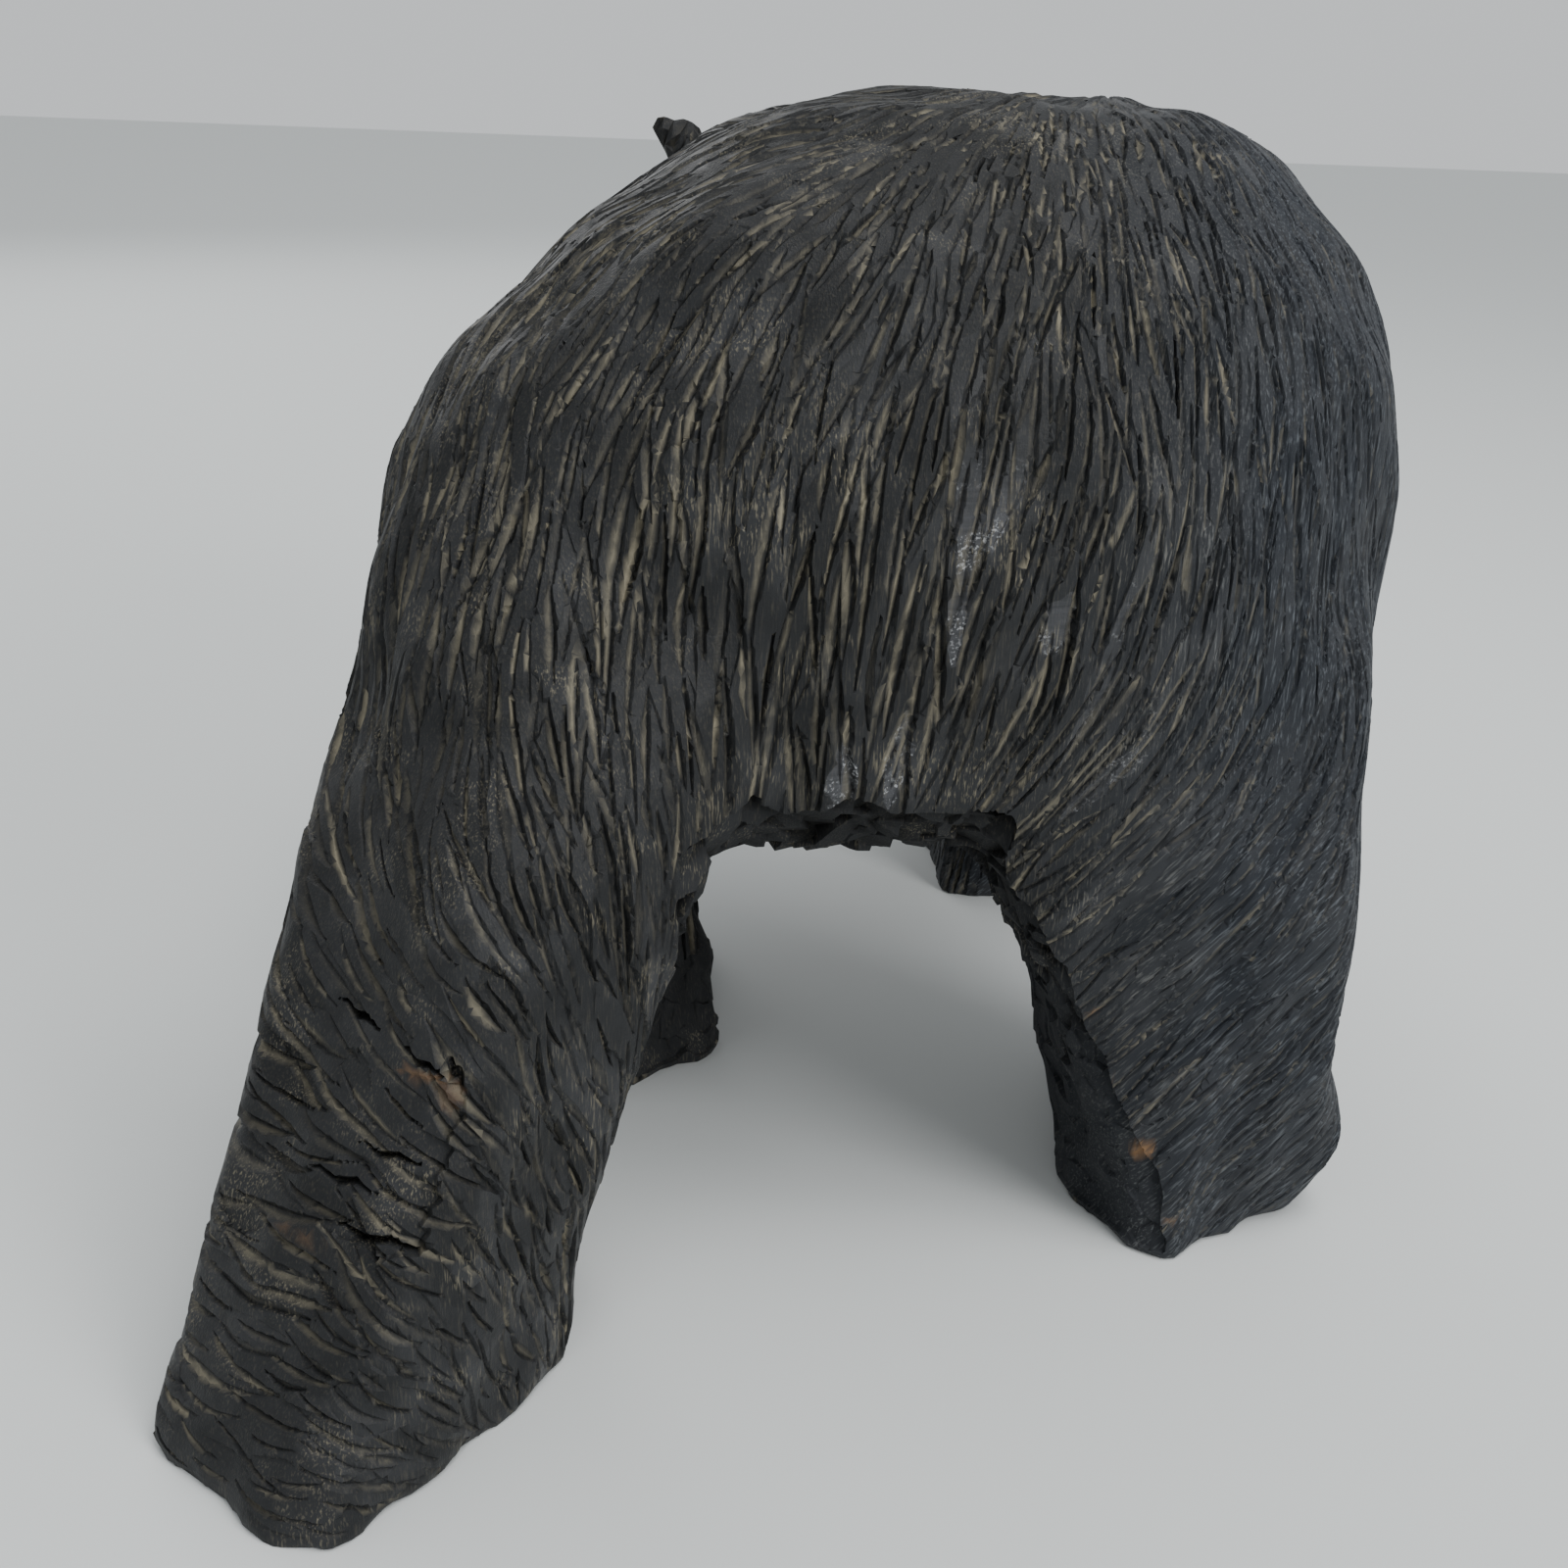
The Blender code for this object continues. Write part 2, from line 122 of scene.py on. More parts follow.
# Width, length, flat and depth of the cuts, and of the chisel facets under them, against the guides
FUR_SCALE = np.array((1.0, 1.45, 0.82, 1.30))
FACET_SCALE = np.array((3.0, 1.50, 0.75, 1.0))
# How near two cuts of a layer may start: along them in lengths, across them in spacings
START_ALONG = 0.60
START_ACROSS = 0.80
# Chance in a cut's length, width and depth: its share, the least and the most
LENGTH_CHANCE = (0.30, 0.45, 1.8)
WIDTH_CHANCE = (0.25, 0.5, 1.7)
DEPTH_CHANCE = (0.30, 0.35, 1.8)
# Chance in its heading and in its bend to each side, in radians
TURN_CHANCE = (0.11, 0.09)
# Straight stretches from a cut's middle to each of its points
HALF_STEPS = 3

# Where the lowest line of a cut and of a facet lies, from -1 at its left rim to 1 at its right rim
CUT_LOWEST = 0.42
FACET_LOWEST = 0.84
# How full a cut's outline is between its points: 1 is a diamond, more is blunter
CUT_FULLNESS = 1.35
# How fast it deepens from its points: less is faster
CUT_DEEPENING = 0.6
# Across a cut, from -1 to 1: the middle and half width of the dust with the painted highlight on
# the cut's lit wall, and of the painted shade on its shaded wall
DUST_AND_HIGHLIGHT_ACROSS = (-0.08, 0.50)
SHADE_ACROSS = (0.66, 0.32)
# Least share of dust and painted highlight in any cut, how much more lies by the whorl, where the
# painted highlight is stronger, and how much lies out of sight
LEAST_DUST_AND_HIGHLIGHT = 0.12
WHORL_DUST_AND_HIGHLIGHT = 0.9
HIDDEN_DUST_AND_HIGHLIGHT = 0.45
# How unevenly the dust and painted highlight lie from cut to cut: more leaves more cuts without
# them
DUST_AND_HIGHLIGHT_POWER = 1.3
# Places on the left leg's inner face and heel with less dust and painted highlight, how far they
# reach, and the share of them that is gone there
DIMMED_PLACES = ((0.050, 0.144, 0.092), (0.066, 0.160, 0.060), (0.080, 0.173, 0.030), (0.100, 0.178, 0.012))
DIMMED_REACH = 0.014
DIMMED_SHARE = 0.75
# Cuts whose normal chance lies beyond this are mirrored, about one in seven
FLIP_BEYOND = 1.45
# Fine points this near a rim or a lowest line slide onto it, in metres
SLIDE = 0.00024
# Edges sharper than this stay crisp, in degrees, and how far a mark is read inside its face
CREASE = 26
CORNER_DRAW = 0.30

# Evening of the skin: its strength and passes, and its share on the head and the toes
EVENNESS = 0.6
EVEN_PASSES = 16
FORM_SHARE = 0.25
# The head's half sizes in metres, and how many of them out the evening starts and is whole
HEAD_HALF = (0.055, 0.050, 0.060)
HEAD_REACH = (0.8, 1.4)
# Between these heights, or these Y at the heels, the evening grows to the whole. Up and down it
# grows from the soles between the last heights
TOE_HEIGHTS = (0.020, 0.075)
HEEL_REACH = (0.105, 0.125)
SOLE_HEIGHTS = (0.0005, 0.004)

# Soles face down more than this, below this height
SOLE_FACING = -0.9
SOLE_HEIGHT = 0.002
# Cuts have this share of their depth at the ground and all of it from this height up
FOOT_SHARE = 0.3
FOOT_HEIGHT = 0.005
# No cut starts or slides below this height
LEAST_HEIGHT = 0.001

# The shank's crescent cuts: beyond this X and below this Z, the bend in radians to each side
SHANK = (0.055, 0.105)
SHANK_BEND = 0.38

# Single deep cuts: place, heading, width, length and depth in millimetres
DEEP_CUTS = (
    ((0.0920, 0.146, 0.0815), (-0.72, 0.68, -0.12), (1.8, 17.0, 2.2)),
    ((0.0800, 0.158, 0.0785), (-0.70, 0.68, -0.22), (1.6, 13.0, 2.0)),
    ((0.0750, 0.162, 0.0785), (-0.60, 0.40, -0.70), (3.2, 6.0, 2.4)),
    ((0.0860, 0.161, 0.0625), (-0.82, 0.56, 0.02), (1.5, 19.0, 1.9)),
    ((0.0930, 0.158, 0.0555), (-0.82, 0.56, -0.02), (1.8, 20.0, 1.4)),
    ((0.0880, 0.166, 0.0490), (-0.86, 0.50, 0.02), (1.9, 24.0, 1.8)),
)
# Stops along a deep cut, in lengths from its middle, and how it wavers up and down between
# them: height in metres, and turns along it and with the height it lies at
DEEP_STOPS = (-0.5, -0.3, -0.1, 0.1, 0.3, 0.5)
DEEP_WAVER = (0.0007, 17, 9)
# Depths in metres between which a deep cut turns black with painted shade
DEEP_SHADE = (0.0003, 0.0012)

# A slice split out of the left shank: middle, heading across it to its right edge,
# reach left and right of the middle, bottom, top and depth, in metres
SLICE_MIDDLE = np.array((0.086, 0.158))
SLICE_HEADING = np.array((-0.678, 0.735))
SLICE_REACH = (-0.014, 0.0127)
SLICE_HEIGHTS = (0.0485, 0.0765)
SLICE_DEPTH = 0.0015
# It is cut where the skin faces this way more than this
SLICE_WAY = np.array((0.45, 0.80, 0.35))
SLICE_FACING = 0.45
# Its share of depth at the top, and the height over which it grows to the whole
SLICE_TOP_SHARE = 0.35
SLICE_TOP_FADE = 0.012
# Waves in its right edge and in its bottom edge: height in metres, turns in radians a metre
SLICE_RIGHT_WAVES = ((0.0005, 900, 0), (0.0003, 2300, 1))
SLICE_BOTTOM_WAVE = (0.0006, 700)

# Places where the stain is chipped off: place, half width and half height in millimetres, bareness
CHIPS = (
    ((-0.0670, 0.122, 0.0260), (2.2, 2.0), 1.0),
    ((-0.0580, 0.119, 0.0420), (1.8, 0.5), 0.8),
    ((-0.0550, 0.117, 0.0580), (0.8, 1.1), 0.5),
    ((-0.0750, 0.127, 0.0100), (2.0, 0.7), 0.45),
    ((0.0795, 0.158, 0.0765), (4.2, 0.7), 0.42),
    ((0.0755, 0.161, 0.0740), (2.2, 2.6), 0.22),
    ((0.1030, 0.161, 0.0460), (5.0, 0.8), 0.22),
)
# A chip's reach in its half sizes, the span over which it fades, and the waves in its rim: their
# height, and turns in radians a metre along X and Z
CHIP_REACH = 1.3
CHIP_FADE = 0.5
CHIP_WAVE = 0.35
CHIP_TURNS = (2600, 3100)
CHIP_PHASE = 1.3

# The plain face: each eye is a bead in a cut ring, in metres
EYES = ((0.0002, -0.1555, 0.1805), (-0.0366, -0.1555, 0.1805))
EYE_BEAD = 0.0030
EYE_PROUD = 0.0012
EYE_RING = 0.0036
EYE_RING_WIDTH = 0.0012
EYE_RING_DEPTH = 0.0014
NOSE = (-0.0182, -0.1850, 0.1624)
NOSE_REACH = 0.0045
NOSE_INK = 0.8
NOSTRILS = ((-0.0140, -0.1900, 0.1618), (-0.0224, -0.1900, 0.1618))
NOSTRIL = 0.0019
NOSTRIL_DEPTH = 0.0016
MOUTH_HEIGHT = 0.1462
MOUTH_BACK = -0.150
MOUTH_HALF_WIDTH = 0.0011
MOUTH_DEPTH = 0.0018
FACE_BACK = -0.125

# The chopped arch between the hind legs: its axis as X and Z, its box, and how squarely the
# skin has to face the axis
ARCH_AXIS = (-0.016, 0.014)
ARCH_LOW = np.array((-0.085, 0.010, 0.002))
ARCH_HIGH = np.array((0.034, 0.142, 0.118))
ARCH_FACING = 0.30
# Area that one fine point stands for there, in square metres
ARCH_POINT_AREA = 0.45e-3**2
# Share of the chopping's depth that each facet has, what its lean adds, and the most it gets
CHOP_SHARE = 0.7
CHOP_LEAN = 1.1
CHOP_MOST = 2.4
# The chopping is shallower down the legs: its share there, and the heights between which it grows
LOW_CHOP_SHARE = 0.45
LOW_CHOP_HEIGHTS = (0.030, 0.060)
# Quantiles of the chopping's depth between which the stain turns black: painted shade in the deeper
# gaps
GAP_QUANTILES = (0.55, 0.95)

# Middle of the burnished part of the rump with the painted sheen and glints, taken off every place,
# in metres
RUMP_GLEAM = (0.012, -0.120, -0.128)
# Lean of the right leg's hair from upright, in degrees
SLANT = 43

# Kinds of shader nodes that the stain uses again and again. A range's inputs 1 to 4 are its
# two ends and what they become, a mix's inputs 2 and 3 are its values and 6 and 7 its colours
NOISE = "ShaderNodeTexNoise"
RANGE = "ShaderNodeMapRange"
MAPPING = "ShaderNodeMapping"
MATH = "ShaderNodeMath"
MIX = "ShaderNodeMix"
TIMES = {"operation": "MULTIPLY"}
IN_COLOUR = {"data_type": "RGBA"}
MIXED_COLOUR = 2
# How much of the finer noise every pattern holds
ROUGH = {"Roughness": 0.6}


def linear(code):
    """Turns an sRGB hex colour into linear red, green, blue and alpha."""
    shares = [int(code[start : start + 2], 16) / 255 for start in (1, 3, 5)]
    lit = [
        share / 12.92 if share <= 0.04045 else ((share + 0.055) / 1.055) ** 2.4
        for share in shares
    ]
    return (*lit, 1.0)


def colour(name, description, code):
    """Makes one colour setting from an sRGB hex colour."""
    return bpy.props.FloatVectorProperty(
        name=name, description=description, size=4, subtype="COLOR", default=linear(code)
    )


def deselect_all():
    """Leaves nothing selected and nothing active."""
    if bpy.context.object and bpy.context.object.mode != "OBJECT":
        bpy.ops.object.mode_set(mode="OBJECT")
    bpy.ops.object.select_all(action="DESELECT")


def make_active(piece):
    """Selects one object alone."""
    deselect_all()
    piece.select_set(True)
    bpy.context.view_layer.objects.active = piece


def apply_modifier(piece, kind, **settings):
    """Adds one modifier and applies it."""
    make_active(piece)
    modifier = piece.modifiers.new(kind.title(), kind)
    for name, value in settings.items():
        setattr(modifier, name, value)
    bpy.ops.object.modifier_apply(modifier=modifier.name)


def read_points(mesh):
    """Gives a mesh's points and their normals as arrays."""
    flat = np.empty(len(mesh.vertices) * 3)
    mesh.vertices.foreach_get("co", flat)
    points = flat.reshape(-1, 3).copy()
    mesh.vertices.foreach_get("normal", flat)
    return points, flat.reshape(-1, 3).copy()


def write_points(mesh, points):
    """Moves a mesh's points."""
    mesh.vertices.foreach_set("co", points.ravel())
    mesh.update()


def point_tree(points):
    """Sorts points so that near ones are found fast."""
    tree = KDTree(len(points))
    for index, point in enumerate(points):
        tree.insert(point, index)
    tree.balance()
    return tree


def unit(vectors):
    """Scales each vector to length one."""
    return vectors / np.maximum(np.linalg.norm(vectors, axis=1), 1e-9)[:, None]


def even_out(points, edges, ease, passes):
    """Evens a skin out, more where its ease along an axis is greater."""
    count = np.bincount(edges.ravel(), minlength=len(points))
    for _ in range(passes):
        pulled = np.empty_like(points)
        for axis in range(3):
            column = points[:, axis]
            total = np.bincount(edges[:, 0], column[edges[:, 1]], len(points))
            total += np.bincount(edges[:, 1], column[edges[:, 0]], len(points))
            pulled[:, axis] = total / count
        points = points + ease * (pulled - points)
    return points


def step_up(values, low, high):
    """Rises smoothly from 0 at low to 1 at high."""
    share = np.clip((values - low) / (high - low), 0, 1)
    return share * share * (3 - 2 * share)


def at_least(least, share):
    """Lifts a share from 0...1 to least...1."""
    return least + (1 - least) * share


def varied(chances, spread):
    """Spreads sizes around 1 by chance, within bounds."""
    share, least, most = spread
    return np.clip(1 + share * chances, least, most)


def lie_of_fur(points, normals):
    """Heading of the fur at each point, and the sizes of the cuts there."""
    away = points - WHORL
    reach = np.linalg.norm(away, axis=1)
    flow = unit(away)
    flow[:, 2] -= np.minimum(FALL_MOST, FALL_RATE * reach)
    flow = unit(flow) * PLAIN_PULL
    sizes = np.tile(np.array(PLAIN_CUTS) * PLAIN_PULL, (len(points), 1))
    weight = np.full(len(points), PLAIN_PULL)
    for place, heading, cuts in GUIDES.values():
        gap = ((points - np.array(place)) ** 2).sum(axis=1)
        pull = np.exp(-0.5 * gap / GUIDE_REACH**2)
        direction = np.array(heading)
        flow += pull[:, None] * direction / np.linalg.norm(direction)
        sizes += pull[:, None] * np.array(cuts)
        weight += pull
    gap = ((points - FACE_PLACE) ** 2).sum(axis=1)
    pull = np.exp(-0.5 * gap / FACE_REACH**2)
    sizes += pull[:, None] * np.array(FACE_CUTS)
    sizes /= (weight + pull)[:, None]
    flow -= normals * (flow * normals).sum(axis=1)[:, None]
    sizes[:, (0, 1, 3)] *= MILLIMETRE
    return unit(flow), sizes


def scatter_cuts(points, flow, sizes, tries, chance):
    """Picks where cuts start, so that neighbours stagger and rarely overlap."""
    order = np.array(chance.sample(range(len(points)), min(tries, len(points))))
    kept = np.empty((len(order), 3))
    total = 0
    chosen = []
    for index in order:
        place = points[index]
        along_gap = START_ALONG * sizes[index, 1]
        across_gap = START_ACROSS * sizes[index, 0] * sizes[index, 2]
        offset = kept[:total] - place
        near = np.abs(offset[:, 2]) < along_gap
        offset = offset[near]
        along = offset @ flow[index]
        across = (offset * offset).sum(axis=1) - along * along
        if np.any(along * along / along_gap**2 + across / across_gap**2 < 1):
            continue
        kept[total] = place
        total += 1
        chosen.append(index)
    return np.array(chosen)


def trace_cuts(seeds, half_lengths, turns, skin, steps):
    """Follows the fur both ways from each seed along the skin."""
    tree, points, normals = skin
    halves = []
    for sign in (-1, 1):
        place = seeds.copy()
        line = []
        for step in range(steps):
            near = [tree.find(spot)[1] for spot in place]
            facing = normals[near]
            flow, _ = lie_of_fur(place, facing)
            side = np.cross(facing, flow)
            angle = turns[:, 0] + sign * turns[:, 1] * (step + 0.5) / steps
            heading = np.cos(angle)[:, None] * flow + np.sin(angle)[:, None] * side
            place = place + sign * heading * (half_lengths / steps)[:, None]
            near = [tree.find(spot)[1] for spot in place]
            lift = ((place - points[near]) * normals[near]).sum(axis=1)
            place = place - normals[near] * lift[:, None]
            line.append(place)
        halves.append(line)
    return np.stack(list(reversed(halves[0])) + [seeds] + halves[1], axis=1)


def profile(across, lowest, rounded):
    """Share of the depth from one rim at -1, past the lowest line, to the other rim at 1."""
    share = np.minimum((across + 1) / (lowest + 1), (1 - across) / (1 - lowest))
    return np.sin(0.5 * math.pi * share) if rounded else share


def sink_cuts(lines, widths, depths, lowest, skin, rounded):
    """Sinks the cuts into the fine skin.

    Gives each point's depth, its place across its cut from -1 to 1, how near it is to the
    cut's middle from 0 to 1, its cut's number or -1, and its slide onto a rim or lowest line.
    """
    tree, points, normals = skin
    segments = lines.shape[1] - 1
    starts = lines[:, :-1].reshape(-1, 3)
    ends = lines[:, 1:].reshape(-1, 3)
    reach = 0.5 * np.linalg.norm(ends - starts, axis=1) + 0.5 * np.repeat(widths, segments)
    hits = []
    owners = []
    for index, (start, end, radius) in enumerate(zip(starts, ends, reach)):
        found = [item[1] for item in tree.find_range(0.5 * (start + end), radius)]
        hits.extend(found)
        owners.extend([index] * len(found))
    hits = np.array(hits)
    owners = np.array(owners)
    span = ends[owners] - starts[owners]
    offset = points[hits] - starts[owners]
    share = np.clip((offset * span).sum(axis=1) / (span * span).sum(axis=1), 0, 1)
    offset = offset - span * share[:, None]
    aside = unit(np.cross(normals[hits], span))
    across = (offset * aside).sum(axis=1)
    past_end = np.abs((offset * unit(span)).sum(axis=1))
    cut = owners // segments
    along = (owners % segments + share) / segments * 2 - 1
    taper = 1 - np.abs(along) ** CUT_FULLNESS
    radius = 0.5 * widths[cut] * taper
    inside = (np.abs(across) < radius + SLIDE) & (past_end < 0.5 * radius) & (radius > SLIDE)
    hits, cut, across, taper, radius, aside = (
        values[inside] for values in (hits, cut, across, taper, radius, aside)
    )
    gaps = np.stack([lowest[cut] * radius - across, radius - across, -radius - across])
    gap = gaps[np.abs(gaps).argmin(axis=0), np.arange(len(across))]
    gap[np.abs(gap) > SLIDE] = 0.0
    across = np.clip((across + gap) / radius, -1, 1)
    sunk = depths[cut] * profile(across, lowest[cut], rounded) * taper**CUT_DEEPENING
    order = np.argsort(sunk)
    depth = np.zeros(len(points))
    place = np.full(len(points), -1.0)
    middle = np.zeros(len(points))
    number = np.full(len(points), -1)
    slide = np.zeros((len(points), 3))
    depth[hits[order]] = sunk[order]
    place[hits[order]] = across[order]
    middle[hits[order]] = taper[order]
    number[hits[order]] = cut[order]
    slide[hits[order]] = (aside * gap[:, None])[order]
    return depth, place, middle, number, slide


def slice_depth(points, normals):
    """Depth of the slice split out of the left shank, with sharp right and bottom edges."""
    height = points[:, 2]
    aside = (points[:, :2] - SLICE_MIDDLE) @ SLICE_HEADING
    wobble = sum(wave * np.sin(height * turns + phase) for wave, turns, phase in SLICE_RIGHT_WAVES)
    left, right = SLICE_REACH
    bottom, top = SLICE_HEIGHTS
    depth = SLICE_DEPTH * np.clip((aside - left) / (right - left), 0, 1)
    depth *= at_least(SLICE_TOP_SHARE, step_up(top - height, 0.0, SLICE_TOP_FADE))
    wave, turns = SLICE_BOTTOM_WAVE
    low = height - bottom - wave * np.sin(aside * turns)
    inside = (aside < right + wobble) & (low > 0) & (height < top)
    inside &= normals @ SLICE_WAY > SLICE_FACING
    return np.where(inside, depth, 0.0)


def on_arch(points, normals):
    """Tells which points lie on the chopped arch."""
    inward = np.zeros_like(points)
    inward[:, 0] = ARCH_AXIS[0] - points[:, 0]
    inward[:, 2] = ARCH_AXIS[1] - points[:, 2]
    facing = (unit(inward) * normals).sum(axis=1)
    within = np.all((points > ARCH_LOW) & (points < ARCH_HIGH), axis=1)
    return within & (facing > ARCH_FACING)


def chop_arch(points, size, depth, chance):
    """Depth of rough leaning facets on the arch's points."""
    count = max(4, int(len(points) * ARCH_POINT_AREA / size**2))
    chosen = np.array(chance.sample(range(len(points)), count))
    tree = point_tree(points[chosen])
    leans = np.array([[chance.uniform(-1, 1) for _ in range(3)] for _ in chosen])
    sinks = np.array([chance.uniform(0, 1) for _ in chosen])
    near = np.array([tree.find(point)[1] for point in points])
    lean = (leans[near] * (points - points[chosen][near])).sum(axis=1) / size
    return depth * np.clip(CHOP_SHARE + sinks[near] + CHOP_LEAN * lean, 0, CHOP_MOST)


def face_marks(points, tree):
    """Depth of the eyes, nostrils and mouth line, and how dark they are: black eye beads and a dark
    nose, with painted shade in the eye rings, nostrils and mouth line.
    """
    depth = np.zeros(len(points))
    shade_and_ink = NOSE_INK * near_places(points, [NOSE], NOSE_REACH)
    for eye in EYES:
        away = np.linalg.norm(points - np.array(tree.find(eye)[0]), axis=1)
        ring = np.clip(1 - np.abs(away - EYE_RING) / EYE_RING_WIDTH, 0, 1)
        bead = np.clip(1 - (away / EYE_BEAD) ** 2, 0, 1)
        depth += EYE_RING_DEPTH * ring - EYE_PROUD * bead
        shade_and_ink = np.maximum(shade_and_ink, np.maximum(ring, np.sqrt(bead)))
    for nostril in NOSTRILS:
        away = np.linalg.norm(points - np.array(tree.find(nostril)[0]), axis=1)
        pit = np.clip(1 - (away / NOSTRIL) ** 2, 0, 1)
        depth += NOSTRIL_DEPTH * pit
        shade_and_ink = np.maximum(shade_and_ink, pit)
    lips = np.clip(1 - np.abs(points[:, 2] - MOUTH_HEIGHT) / MOUTH_HALF_WIDTH, 0, 1)
    lips *= points[:, 1] < MOUTH_BACK
    return depth + MOUTH_DEPTH * lips, np.maximum(shade_and_ink, lips)


def near_places(points, places, reach):
    """How near each point is to the nearest of some places, from 0 to 1."""
    gaps = [((points - np.array(place)) ** 2).sum(axis=1) for place in places]
    return np.exp(-0.5 * np.min(gaps, axis=0) / reach**2)


def chipped(points):
    """How far the stain is chipped away at each point."""
    bare = np.zeros(len(points))
    wobble = CHIP_WAVE * np.sin(points[:, 0] * CHIP_TURNS[0])
    wobble *= np.sin(points[:, 2] * CHIP_TURNS[1] + CHIP_PHASE)
    for place, (half_width, half_height), bareness in CHIPS:
        offset = (points - np.array(place)) / MILLIMETRE
        aside = np.hypot(offset[:, 0], offset[:, 1]) / half_width
        reach = np.hypot(aside, offset[:, 2] / half_height)
        worn_and_sheen = step_up(CHIP_REACH + wobble - reach, 0.0, CHIP_FADE)
        bare = np.maximum(bare, bareness * worn_and_sheen)
    return bare


def face_corners(mesh):
    """Gives each face corner's place, drawn a little towards the middle of its face."""
    points, _ = read_points(mesh)
    corners = np.empty(len(mesh.loops), dtype=np.int64)
    mesh.loops.foreach_get("vertex_index", corners)
    middles = np.empty(len(mesh.polygons) * 3)
    mesh.polygons.foreach_get("center", middles)
    middles = np.repeat(middles.reshape(-1, 3), 3, axis=0)
    return points[corners] + CORNER_DRAW * (middles - points[corners])


def write_attribute(mesh, name, values):
    """Stores one number for each face corner, so that a mark can end sharply at an edge."""
    attribute = mesh.attributes.new(name, "FLOAT", "CORNER")
    attribute.data.foreach_set("value", values.astype(np.float32))


class BearCarvingSettings(bpy.types.PropertyGroup):
    """Sizes of the carving"""

    skin_cell: bpy.props.FloatProperty(
        name="Skin cell", description="Fineness of the evened skin", default=0.0019, unit="LENGTH"
    )
    chop_size: bpy.props.FloatProperty(
        name="Chop size", description="Width of a facet in the arch", default=0.0052, unit="LENGTH"
    )
    chop_depth: bpy.props.FloatProperty(
        name="Chop depth", description="Depth of the arch's facets", default=0.0015, unit="LENGTH"
    )
    rim_step: bpy.props.FloatProperty(
        name="Rim step", description="Step from the fur to the arch", default=0.0008, unit="LENGTH"
    )
    tries: bpy.props.IntProperty(
        name="Tries", description="Places tried for a cut", default=60000, min=1000
    )
    seed: bpy.props.IntProperty(name="Seed", description="Chooses another set of cuts", default=11)
    seen_triangles: bpy.props.IntProperty(
        name="Rear triangles", description="Triangles left on the rear", default=150000
    )
    other_triangles: bpy.props.IntProperty(
        name="Other triangles", description="Triangles left elsewhere", default=56000
    )


class BearFinishSettings(bpy.types.PropertyGroup):
    """Colours of the stained wood, with painted highlight, sheen, glints, reflection and shade"""

    stain: colour("Stain", "Black stain on the flats", "#202122")
    # Worn stain, with a painted sheen that differs facet by facet
    worn_and_sheen: colour("Worn stain", "Greyer stain on worn facets", "#3a3b3d")
    # Painted sheen on the burnished facets
    burnish_and_sheen: colour("Burnished", "Grey of the burnished facets", "#4c4d50")
    # Painted glints on the burnished facets
    glint: colour("Glint", "Specks on the burnished facets", "#b4b6b8")
    # Dust, with a painted highlight on each cut's lit wall
    dust_and_highlight: colour("Dust", "Olive dust in the cuts", "#89826f")
    # Painted shade on each cut's shaded wall, in the cracks, the arch's gaps and the face's
    # grooves, and the black of the eyes and nose
    shade_and_ink: colour("Ink", "Ink pooled along the cuts", "#060606")
    # Painted cool reflection on the right side
    cool_reflection: colour("Cool stain", "Blue-black of the right side", "#24272c")
    # Painted glints along the fine hair of the right side
    hairline_glint: colour("Hairlines", "Grey hairlines of the right side", "#6f7479")
    wood: colour("Bare wood", "Wood where the stain is chipped", "#806347")


class BearStageSettings(bpy.types.PropertyGroup):
    """Floor, light and camera"""

    floor: colour("Floor", "Colour of the floor", "#dadddc")
    sky: colour("Sky", "Colour of the soft light all round", "#e4e7e9")
    lens: bpy.props.FloatProperty(
        name="Lens", description="Focal length in millimetres", default=40.5
    )


